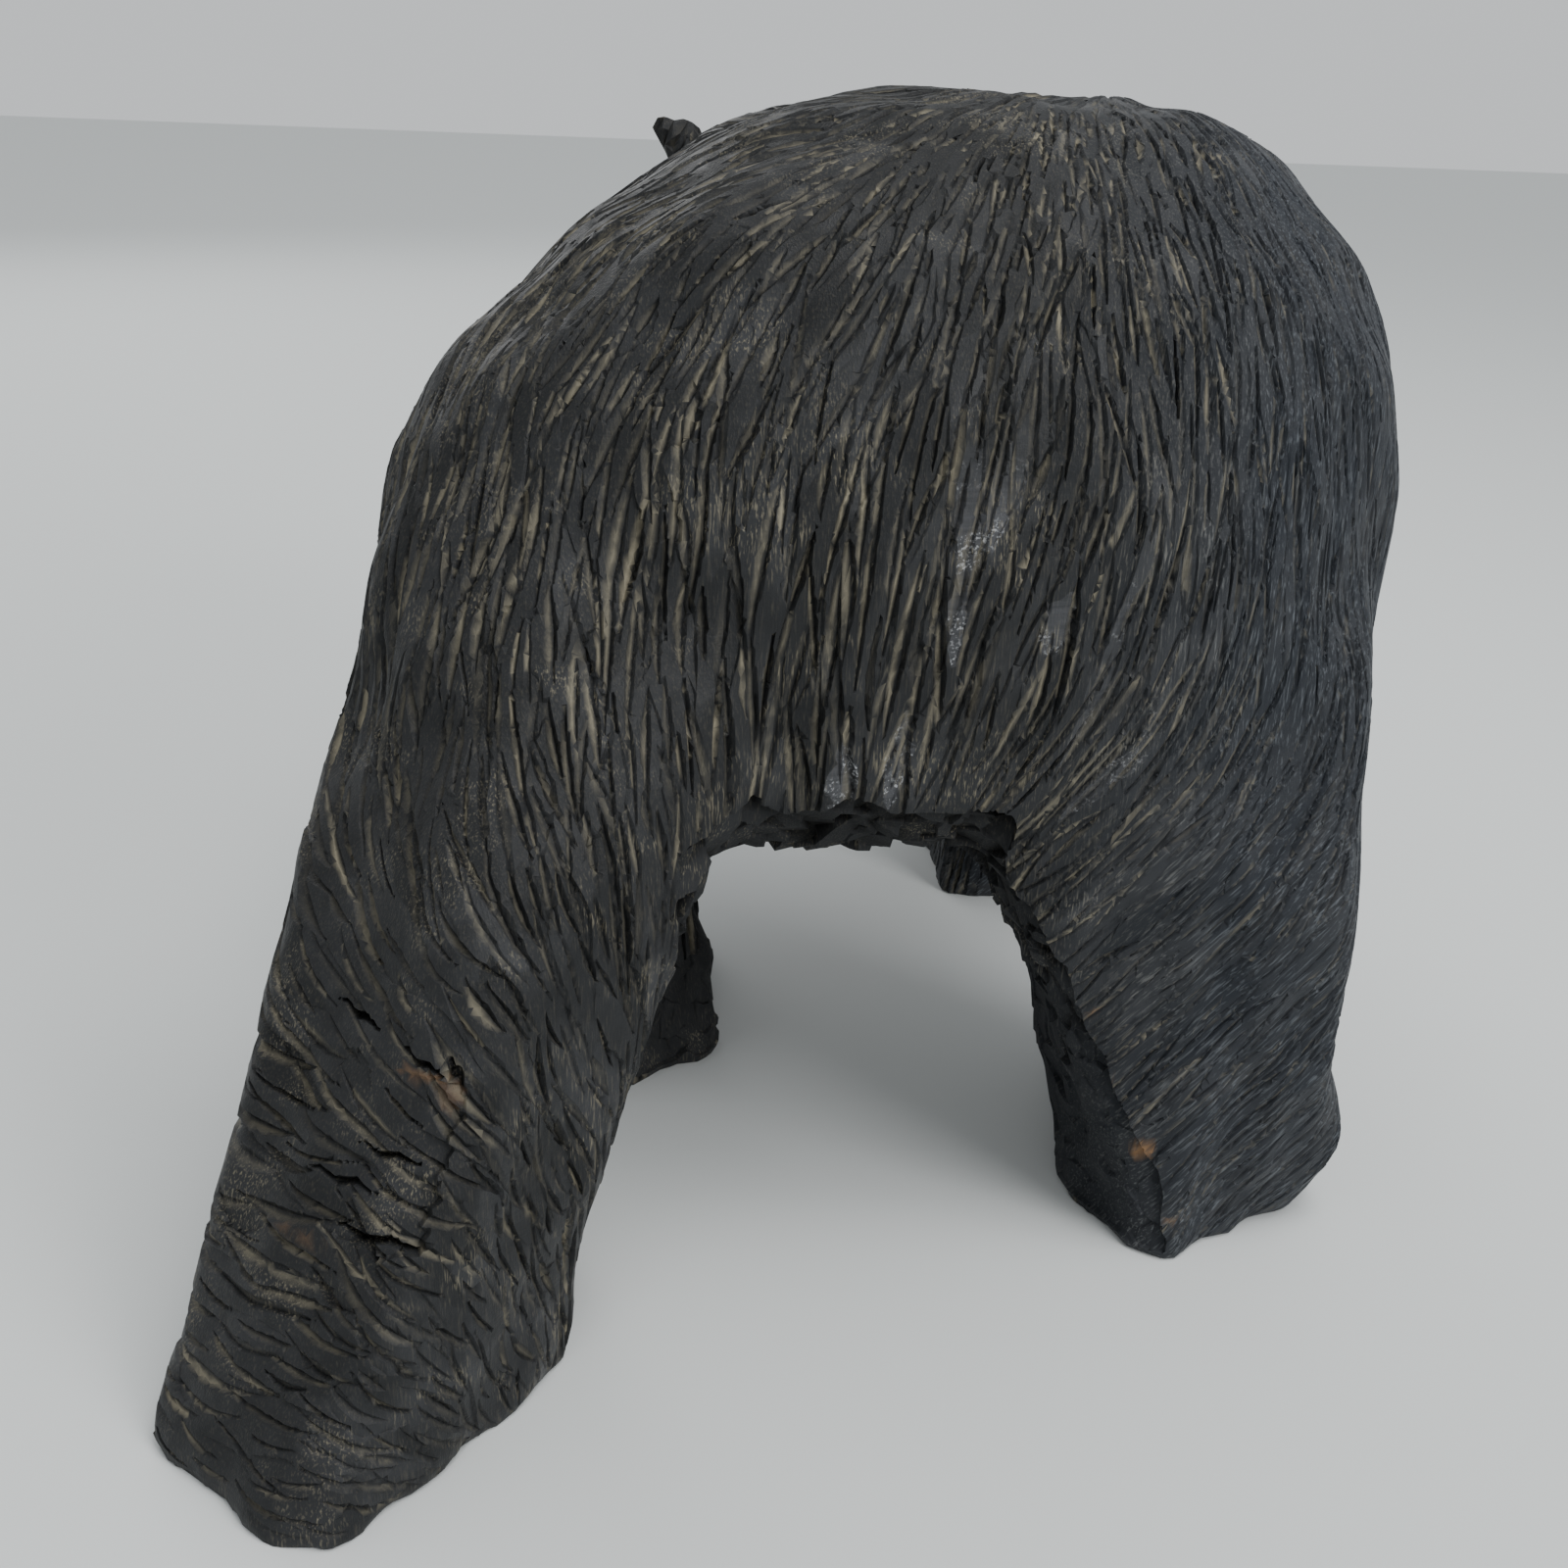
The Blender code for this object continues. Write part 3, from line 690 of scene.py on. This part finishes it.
class BEAR_OT_carve(bpy.types.Operator):
    """Carve the fur into a fine copy of the block"""

    bl_idname = "bear.carve"
    bl_label = "Carve the Bear"

    def execute(self, context):
        settings = context.scene.bear_carving
        chance = random.Random(settings.seed)
        piece = self.even_block(context, settings)
        rough = read_points(piece.data)
        select_points(piece, seen_from_rear(*rough) | (rough[0][:, 1] < FACE_BACK))
        bpy.ops.object.mode_set(mode="EDIT")
        bpy.ops.mesh.subdivide(number_cuts=1, smoothness=0)
        bpy.ops.object.mode_set(mode="OBJECT")
        points, normals = read_points(piece.data)
        skin = (point_tree(points), points, normals)
        rough = (point_tree(rough[0]), *rough)

        # Wide shapes need fewer tries than the cuts over them
        facet_tries = settings.tries // 4
        facets = self.fur_layer(
            rough, skin, FACET_SCALE, facet_tries, FACET_LOWEST, False, chance
        )
        fur = self.fur_layer(rough, skin, FUR_SCALE, settings.tries, CUT_LOWEST, True, chance)
        deep = self.deep_cuts(rough, skin)
        depth = facets["depth"] + np.maximum(fur["depth"], deep["depth"])
        slide = np.where((fur["depth"] > 0)[:, None], fur["slide"], facets["slide"])
        deeper = deep["depth"] > fur["depth"]
        slide[deeper] = deep["slide"][deeper]
        depth += slice_depth(points, normals)
        depth *= 1 - near_places(points, [*EYES, NOSE], NOSE_REACH)
        marked, face_shade_and_ink = face_marks(points, skin[0])
        depth += marked

        height = points[:, 2]
        arch = on_arch(points, normals)
        chop = chop_arch(points[arch], settings.chop_size, settings.chop_depth, chance)
        chop *= at_least(LOW_CHOP_SHARE, step_up(height[arch], *LOW_CHOP_HEIGHTS))
        depth[arch] = settings.rim_step + chop
        soles = (normals[:, 2] < SOLE_FACING) & (height < SOLE_HEIGHT)
        depth *= at_least(FOOT_SHARE, step_up(height, 0.0, FOOT_HEIGHT))
        depth[soles] = 0.0
        slide[arch | soles | (height < LEAST_HEIGHT)] = 0.0
        carved = points + slide - normals * depth[:, None]
        carved[:, 2] = np.maximum(carved[:, 2], 0.0)
        write_points(piece.data, carved)

        seen = seen_from_rear(points, normals)
        # Dust, with a painted highlight on each cut's lit wall, stronger by the whorl
        dusty = self.band(fur, DUST_AND_HIGHLIGHT_ACROSS) * at_least(LEAST_DUST_AND_HIGHLIGHT, fur["tone"] ** DUST_AND_HIGHLIGHT_POWER)
        dusty *= 1 + WHORL_DUST_AND_HIGHLIGHT * near_places(points, [WHORL], GUIDE_REACH)
        dusty *= 1 - DIMMED_SHARE * near_places(points, DIMMED_PLACES, DIMMED_REACH)
        dusty = np.minimum(dusty, 1.0) * np.where(seen, 1.0, HIDDEN_DUST_AND_HIGHLIGHT)
        # Painted shade: black on each cut's shaded wall and in the deep cracks, then in the deeper
        # gaps of the arch and in the face's rings, nostrils and mouth line
        black = np.maximum(self.band(fur, SHADE_ACROSS), step_up(deep["depth"], *DEEP_SHADE))
        dusty[arch] = 0.0
        black[arch] = step_up(depth[arch], *np.quantile(depth[arch], GAP_QUANTILES))
        dusty *= 1 - face_shade_and_ink
        black = np.maximum(black, face_shade_and_ink)
        select_points(piece, ~seen)
        self.thin(piece, settings)

        corners = face_corners(piece.data)
        carved_tree = point_tree(carved)
        near = np.array([carved_tree.find(spot)[1] for spot in corners])
        write_attribute(piece.data, "dusty", dusty[near])
        write_attribute(piece.data, "black", black[near])
        write_attribute(piece.data, "facet", facets["tone"][near])
        write_attribute(piece.data, "chopped", arch[near].astype(float))
        write_attribute(piece.data, "bare", chipped(corners))
        make_active(piece)
        bpy.ops.object.shade_smooth_by_angle(angle=math.radians(CREASE))
        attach(piece, "root")
        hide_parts(NODE)
        return {"FINISHED"}

    def band(self, fur, span):
        """Share of a stripe that runs along every cut and fades at its ends."""
        middle, half_width = span
        stripe = np.clip(1 - ((fur["across"] - middle) / half_width) ** 2, 0, 1)
        return stripe * np.sqrt(fur["middle"])

    def fur_layer(self, rough, skin, scale, tries, lowest, rounded, chance):
        """Lays one layer of cuts over the skin and sinks it."""
        _, points, normals = rough
        flow, sizes = lie_of_fur(points, normals)
        sizes = sizes * scale
        chosen = scatter_cuts(points, flow, sizes, tries, chance)
        chopped = on_arch(points[chosen], normals[chosen])
        chosen = chosen[~(chopped | (points[chosen][:, 2] < LEAST_HEIGHT))]
        spread = np.array([[chance.gauss(0, 1) for _ in range(6)] for _ in chosen])
        lengths = sizes[chosen, 1] * varied(spread[:, 0], LENGTH_CHANCE)
        widths = sizes[chosen, 0] * varied(spread[:, 1], WIDTH_CHANCE)
        depths = sizes[chosen, 3] * varied(spread[:, 2], DEPTH_CHANCE)
        turns = spread[:, 3:5] * TURN_CHANCE
        on_shank = (points[chosen][:, 0] > SHANK[0]) & (points[chosen][:, 2] < SHANK[1])
        turns[on_shank, 1] += SHANK_BEND
        lows = lowest * np.where(np.abs(spread[:, 5]) > FLIP_BEYOND, -1, 1)
        tones = np.array([chance.uniform(0, 1) for _ in chosen])
        lines = trace_cuts(points[chosen], 0.5 * lengths, turns, rough, HALF_STEPS)
        depth, across, middle, number, slide = sink_cuts(
            lines, widths, depths, lows, skin, rounded
        )
        own = np.maximum(number, 0)
        return {
            "depth": depth,
            "across": across * np.sign(lows[own]),
            "middle": middle,
            "slide": slide,
            "tone": np.where(number >= 0, tones[own], 0.5),
        }

    def deep_cuts(self, rough, skin):
        """Sinks the few deep cracks of the left shank."""
        tree, points, normals = rough
        wave, along_turns, height_turns = DEEP_WAVER
        lines = []
        for place, heading, (_, length, _) in DEEP_CUTS:
            direction = np.array(heading) / np.linalg.norm(heading)
            line = []
            for share in DEEP_STOPS:
                spot = np.array(place) + direction * share * length * MILLIMETRE
                spot[2] += wave * math.sin(along_turns * share + height_turns * place[2])
                near = tree.find(spot)[1]
                line.append(spot - normals[near] * np.dot(spot - points[near], normals[near]))
            lines.append(line)
        widths, _, depths = MILLIMETRE * np.array([sizes for _, _, sizes in DEEP_CUTS]).T
        lows = np.full(len(lines), CUT_LOWEST)
        depth, _, _, _, slide = sink_cuts(np.array(lines), widths, depths, lows, skin, True)
        return {"depth": depth, "slide": slide}

    def even_block(self, context, settings):
        """Copies the block, joins its triangles and evens its skin out."""
        piece = bpy.data.objects.new(PIECE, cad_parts[NODE].data.copy())
        piece.data.materials.clear()
        context.scene.collection.objects.link(piece)
        make_active(piece)
        bpy.ops.object.mode_set(mode="EDIT")
        bpy.ops.mesh.select_all(action="SELECT")
        bpy.ops.mesh.remove_doubles(threshold=1e-5)
        bpy.ops.object.mode_set(mode="OBJECT")
        apply_modifier(piece, "REMESH", mode="VOXEL", voxel_size=settings.skin_cell)

        mesh = piece.data
        points, _ = read_points(mesh)
        edges = np.empty(len(mesh.edges) * 2, dtype=np.int64)
        mesh.edges.foreach_get("vertices", edges)
        head = np.linalg.norm((points - FACE_PLACE) / HEAD_HALF, axis=1)
        # The head and the toes keep their form, the heels are pared smooth, the soles stay level
        ease = EVENNESS * at_least(FORM_SHARE, step_up(head, *HEAD_REACH))
        above_toes = step_up(points[:, 2], *TOE_HEIGHTS)
        ease *= at_least(FORM_SHARE, np.maximum(above_toes, step_up(points[:, 1], *HEEL_REACH)))
        ease = np.stack([ease, ease, ease * step_up(points[:, 2], *SOLE_HEIGHTS)], axis=1)
        points = even_out(points, edges.reshape(-1, 2), ease, EVEN_PASSES)
        write_points(mesh, points)
        apply_modifier(piece, "SUBSURF", levels=1, render_levels=1)
        return piece

    def thin(self, piece, settings):
        """Thins the selected hidden sides, then the rest."""
        for budget in (settings.other_triangles, settings.seen_triangles):
            chosen = np.empty(len(piece.data.polygons), dtype=bool)
            piece.data.polygons.foreach_get("select", chosen)
            sides = np.empty(len(piece.data.polygons), dtype=np.int64)
            piece.data.polygons.foreach_get("loop_total", sides)
            ratio = min(1.0, budget / (sides[chosen] - 2).sum())
            bpy.ops.object.mode_set(mode="EDIT")
            bpy.ops.mesh.decimate(ratio=ratio)
            bpy.ops.mesh.select_all(action="INVERT")
            bpy.ops.object.mode_set(mode="OBJECT")
        apply_modifier(piece, "TRIANGULATE")


def seen_from_rear(points, normals):
    """Tells which points face the photo's viewpoint."""
    facing = (unit(np.array(CAMERA_PLACE) - points) * normals).sum(axis=1)
    return (facing > SEEN_FACING) & (points[:, 1] > SEEN_BEHIND)


def select_points(piece, chosen):
    """Selects the faces whose points are all chosen."""
    make_active(piece)
    bpy.ops.object.mode_set(mode="EDIT")
    bpy.ops.mesh.select_mode(type="VERT")
    bpy.ops.mesh.select_all(action="DESELECT")
    bpy.ops.object.mode_set(mode="OBJECT")
    piece.data.vertices.foreach_set("select", chosen)
    bpy.ops.object.mode_set(mode="EDIT")
    bpy.ops.mesh.select_mode(type="FACE")
    bpy.ops.object.mode_set(mode="OBJECT")


def add_node(material, kind, settings=None, links=None, output=0):
    """Adds one shader node, sets its values, links its inputs and gives one of its outputs."""
    node = material.node_tree.nodes.new(kind)
    for name, value in (settings or {}).items():
        if isinstance(name, int) or name in node.inputs.keys():
            node.inputs[name].default_value = value
        else:
            setattr(node, name, value)
    for name, socket in (links or {}).items():
        material.node_tree.links.new(socket, node.inputs[name])
    return node.outputs[output]


def new_material(name):
    """Makes a material with nodes and gives it with its Principled shader."""
    material = bpy.data.materials.new(name)
    material.use_nodes = True
    return material, material.node_tree.nodes["Principled BSDF"]


class BEAR_OT_stain(bpy.types.Operator):
    """Stain the carving black and let the cuts show"""

    bl_idname = "bear.stain"
    bl_label = "Stain the Wood"

    def execute(self, context):
        colours = context.scene.bear_finish
        # Carved hardwood under a thin black stain: satin, with duller cuts where dust and painted
        # highlight lie
        material, shader = new_material("black_stained_carved_wood")
        add = partial(add_node, material)
        place = add("ShaderNodeTexCoord", output="Object")
        dusty, black, facet, chopped, bare = (
            add("ShaderNodeAttribute", {"attribute_name": name}, output="Fac")
            for name in ("dusty", "black", "facet", "chopped", "bare")
        )
        sideways = add("ShaderNodeSeparateXYZ", links={0: place})
        height = sideways.node.outputs["Z"]
        right_side = add(RANGE, {1: -0.030, 2: -0.080, 3: 0.0, 4: 1.0}, {0: sideways})
        # Painted cool reflection: the flats turn blue-black towards the right side
        plain = {**IN_COLOUR, 6: tuple(colours.stain), 7: tuple(colours.cool_reflection)}
        flats = add(MIX, plain, {0: right_side}, MIXED_COLOUR)
        # Worn stain in patches about 15 mm across, each facet by its own amount: partly a painted
        # sheen standing in for facets that catch the light
        patches = add(NOISE, {"Scale": 65.0, "Detail": 3.0, **ROUGH}, {"Vector": place})
        wear_and_sheen = add(RANGE, {1: 0.35, 2: 0.70, 3: 0.1, 4: 0.9}, {0: patches})
        facet_sheen = add(RANGE, {1: 0.1, 2: 0.9, 3: 0.0, 4: 1.0}, {0: facet})
        wear_and_sheen = add(MATH, TIMES, {0: wear_and_sheen, 1: facet_sheen})
        worn_and_sheen = {**IN_COLOUR, 7: tuple(colours.worn_and_sheen)}
        flats = add(MIX, worn_and_sheen, {0: wear_and_sheen, 6: flats}, MIXED_COLOUR)
        # Tool chatter across the cuts 0.9 mm apart
        squashed = add(MAPPING, {"Scale": (0.10, 0.10, 1.0)}, {"Vector": place})
        chatter = add(NOISE, {"Scale": 1100.0, "Detail": 2.0, **ROUGH}, {"Vector": squashed})
        # A few facets low on the rump are burnished by the chisel, with a painted grey sheen and
        # painted glints in specks about 0.6 mm across, in patches about 6 mm across
        burnish_and_sheen = add(RANGE, {1: 0.80, 2: 0.84, 3: 0.0, 4: 1.0}, {0: facet})
        from_middle = add(MAPPING, {"Location": RUMP_GLEAM}, {"Vector": place})
        reach = add("ShaderNodeVectorMath", {"operation": "LENGTH"}, {0: from_middle}, "Value")
        gleam = add(RANGE, {1: 0.050, 2: 0.035, 3: 0.0, 4: 1.0}, {0: reach})
        burnish_and_sheen = add(MATH, TIMES, {0: burnish_and_sheen, 1: gleam})
        sheen_amount = add(RANGE, {1: 0.35, 2: 0.65, 3: 0.30, 4: 0.75}, {0: chatter})
        sheen_amount = add(MATH, TIMES, {0: burnish_and_sheen, 1: sheen_amount})
        sheen_colour = {**IN_COLOUR, 7: tuple(colours.burnish_and_sheen)}
        flats = add(MIX, sheen_colour, {0: sheen_amount, 6: flats}, MIXED_COLOUR)
        specks = add(NOISE, {"Scale": 1500.0, "Detail": 2.0, **ROUGH}, {"Vector": place})
        specks = add(RANGE, {1: 0.54, 2: 0.64, 3: 0.0, 4: 0.6}, {0: specks})
        glints = add(MATH, TIMES, {0: burnish_and_sheen, 1: specks})
        gathered = add(NOISE, {"Scale": 160.0, "Detail": 1.0, **ROUGH}, {"Vector": place})
        gathered = add(RANGE, {1: 0.50, 2: 0.62, 3: 0.0, 4: 1.0}, {0: gathered})
        glints = add(MATH, TIMES, {0: glints, 1: gathered})
        bright = {**IN_COLOUR, 7: tuple(colours.glint)}
        flats = add(MIX, bright, {0: glints, 6: flats}, MIXED_COLOUR)
        # Dust, with a painted highlight on each cut's lit wall, lies in the cuts patchily, over
        # about 8 mm, and less on the right side
        lying = add(NOISE, {"Scale": 120.0, "Detail": 4.0, **ROUGH}, {"Vector": place})
        lying = add(RANGE, {1: 0.34, 2: 0.60, 3: 0.20, 4: 1.0}, {0: lying})
        dust_and_highlight = add(MATH, TIMES, {0: dusty, 1: lying})
        less = add(RANGE, {1: -0.045, 2: -0.090, 3: 1.0, 4: 0.45}, {0: sideways})
        dust_and_highlight = add(MATH, TIMES, {0: dust_and_highlight, 1: less})
        olive = {**IN_COLOUR, 7: tuple(colours.dust_and_highlight)}
        cut = add(MIX, olive, {0: dust_and_highlight, 6: flats}, MIXED_COLOUR)
        # Painted shade on the cuts' shaded walls, in cracks, gaps and the face's grooves, with the
        # black of the eyes and nose
        shade_colour = {**IN_COLOUR, 7: tuple(colours.shade_and_ink)}
        with_shade_and_ink = add(MIX, shade_colour, {0: black, 6: cut}, MIXED_COLOUR)
        # Torn fibres, 0.3 mm across and some millimetres long, show lighter: upright on the rump,
        # and slanting like the hair on the right leg; on the right side they are painted glints on
        # the hair
        stretched = add(MAPPING, {"Scale": (1.0, 1.0, 0.09)}, {"Vector": place})
        upright = add(NOISE, {"Scale": 2600.0, "Detail": 2.0, **ROUGH}, {"Vector": stretched})
        turned = {"Rotation": (0.0, math.radians(SLANT), 0.0)}
        slanted = add(MAPPING, turned, {"Vector": place})
        slanted = add(MAPPING, {"Scale": (1.0, 1.0, 0.07)}, {"Vector": slanted})
        slanted = add(NOISE, {"Scale": 1900.0, "Detail": 2.0, **ROUGH}, {"Vector": slanted})
        on_right = add(RANGE, {1: -0.045, 2: -0.062, 3: 0.0, 4: 1.0}, {0: sideways})
        on_leg = add(RANGE, {1: 0.120, 2: 0.095, 3: 0.0, 4: 1.0}, {0: height})
        on_right_leg = add(MATH, TIMES, {0: on_right, 1: on_leg})
        fibres = add(MIX, links={0: on_right_leg, 2: upright, 3: slanted})
        in_patches = add(RANGE, {1: 0.50, 2: 0.64, 3: 0.0, 4: 1.0}, {0: patches})
        everywhere = add(RANGE, {1: 0.0, 2: 1.0, 3: 0.15, 4: 0.70}, {0: right_side})
        streaks_here = add(MATH, {"operation": "MAXIMUM"}, {0: in_patches, 1: everywhere})
        torn_fibres_and_glints = add(RANGE, {1: 0.53, 2: 0.72, 3: 0.0, 4: 0.55}, {0: fibres})
        torn_fibres_and_glints = add(MATH, TIMES, {0: torn_fibres_and_glints, 1: streaks_here})
        # Painted glints in the grey hairline colour on the right side, the dust and highlight
        # colour elsewhere
        strands = {**IN_COLOUR, 6: tuple(colours.dust_and_highlight), 7: tuple(colours.hairline_glint)}
        hair = add(MIX, strands, {0: right_side}, MIXED_COLOUR)
        fibrous = add(MIX, IN_COLOUR, {0: torn_fibres_and_glints, 6: with_shade_and_ink, 7: hair}, MIXED_COLOUR)
        wooden = {**IN_COLOUR, 7: tuple(colours.wood)}
        surface = add(MIX, wooden, {0: bare, 6: fibrous}, MIXED_COLOUR)
        # The burnished facets shine, and the chopped arch is matt
        gloss = add(NOISE, {"Scale": 200.0, "Detail": 4.0, **ROUGH}, {"Vector": place})
        gloss = add(RANGE, {1: 0.35, 2: 0.65, 3: 0.38, 4: 0.56}, {0: gloss})
        gloss = add(MIX, {3: 0.28}, {0: burnish_and_sheen, 2: gloss})
        gloss = add(MIX, {3: 0.75}, {0: chopped, 2: gloss})
        gloss = add(MIX, {3: 0.60}, {0: dusty, 2: gloss})
        # Chatter, fibres and a fine grain give the relief
        grain = add(NOISE, {"Scale": 2200.0, "Detail": 2.0, **ROUGH}, {"Vector": place})
        relief = add(MATH, {"operation": "MULTIPLY_ADD", 1: 0.6}, {0: chatter, 2: fibres})
        relief = add(MATH, {"operation": "MULTIPLY_ADD", 1: 0.5}, {0: grain, 2: relief})
        bump = {"Strength": 0.5, "Distance": 0.00025}
        relief = add("ShaderNodeBump", bump, {"Height": relief})
        shown = {"Base Color": surface, "Roughness": gloss, "Normal": relief}
        for name, socket in shown.items():
            material.node_tree.links.new(socket, shader.inputs[name])
        shader.inputs["Specular IOR Level"].default_value = 0.13
        piece = bpy.data.objects[PIECE]
        piece.data.materials.clear()
        piece.data.materials.append(material)
        return {"FINISHED"}


def add_softbox(name, place, target, size, power):
    """Adds one square soft light aimed at a point."""
    aim = (Vector(target) - Vector(place)).to_track_quat("-Z", "Y").to_euler()
    bpy.ops.object.light_add(type="AREA", location=place, rotation=aim)
    light = bpy.context.object
    light.name = name
    light.data.shape = "SQUARE"
    light.data.size = size
    light.data.energy = power


class BEAR_OT_stage(bpy.types.Operator):
    """Lay the floor, hang the lights and place the camera"""

    bl_idname = "bear.stage"
    bl_label = "Set the Stage"

    def execute(self, context):
        settings = context.scene.bear_stage
        deselect_all()
        bpy.ops.mesh.primitive_plane_add(size=8.0, location=(0.0, 0.0, 0.0))
        floor = context.object
        floor.name = "floor"
        # Pale matt paper
        paper, shader = new_material("pale_matt_paper")
        shader.inputs["Base Color"].default_value = tuple(settings.floor)
        shader.inputs["Roughness"].default_value = 0.8
        floor.data.materials.append(paper)

        world = bpy.data.worlds.new("soft_room")
        context.scene.world = world
        world.use_nodes = True
        sky = world.node_tree.nodes["Background"]
        sky.inputs["Color"].default_value = tuple(settings.sky)
        sky.inputs["Strength"].default_value = 0.92
        for name, softbox in SOFTBOXES.items():
            add_softbox(name, *softbox)

        pitch = math.radians(CAMERA_PITCH)
        roll = math.radians(CAMERA_ROLL)
        heading = math.radians(CAMERA_HEADING)
        ahead = Vector((-math.sin(heading), -math.cos(heading), 0.0)) * math.cos(pitch)
        ahead.z = -math.sin(pitch)
        level = Vector((-math.cos(heading), math.sin(heading), 0.0))
        above = level.cross(ahead)
        aside = level * math.cos(roll) + above * math.sin(roll)
        upward = aside.cross(ahead)
        bpy.ops.object.camera_add()
        camera = context.object
        camera.name = "photo_camera"
        turn = Matrix((aside, upward, -ahead)).transposed().to_4x4()
        camera.matrix_world = Matrix.Translation(CAMERA_PLACE) @ turn
        camera.data.sensor_width = 36.0
        camera.data.lens = settings.lens
        camera.data.clip_start = 0.01
        context.scene.camera = camera
        return {"FINISHED"}


class BEAR_PT_panel(bpy.types.Panel):
    """Lists the steps of the carving"""

    bl_idname = "BEAR_PT_panel"
    bl_label = "Carved Bear"
    bl_space_type = "VIEW_3D"
    bl_region_type = "UI"
    bl_category = "Bear"

    def draw(self, context):
        for step in STEPS:
            self.layout.operator(step.bl_idname)
        for place, group in GROUPS.items():
            for name in group.__annotations__:
                self.layout.prop(getattr(context.scene, place), name)


STEPS = (BEAR_OT_carve, BEAR_OT_stain, BEAR_OT_stage)
GROUPS = {
    "bear_carving": BearCarvingSettings,
    "bear_finish": BearFinishSettings,
    "bear_stage": BearStageSettings,
}


def register():
    for name, group in GROUPS.items():
        bpy.utils.register_class(group)
        setattr(bpy.types.Scene, name, bpy.props.PointerProperty(type=group))
    for step in (*STEPS, BEAR_PT_panel):
        bpy.utils.register_class(step)


def unregister():
    for step in (BEAR_PT_panel, *reversed(STEPS)):
        bpy.utils.unregister_class(step)
    for name, group in reversed(GROUPS.items()):
        delattr(bpy.types.Scene, name)
        bpy.utils.unregister_class(group)


def main():
    register()
    deselect_all()
    bpy.ops.bear.carve()
    bpy.ops.bear.stain()
    bpy.ops.bear.stage()


if __name__ == "__main__":
    main()
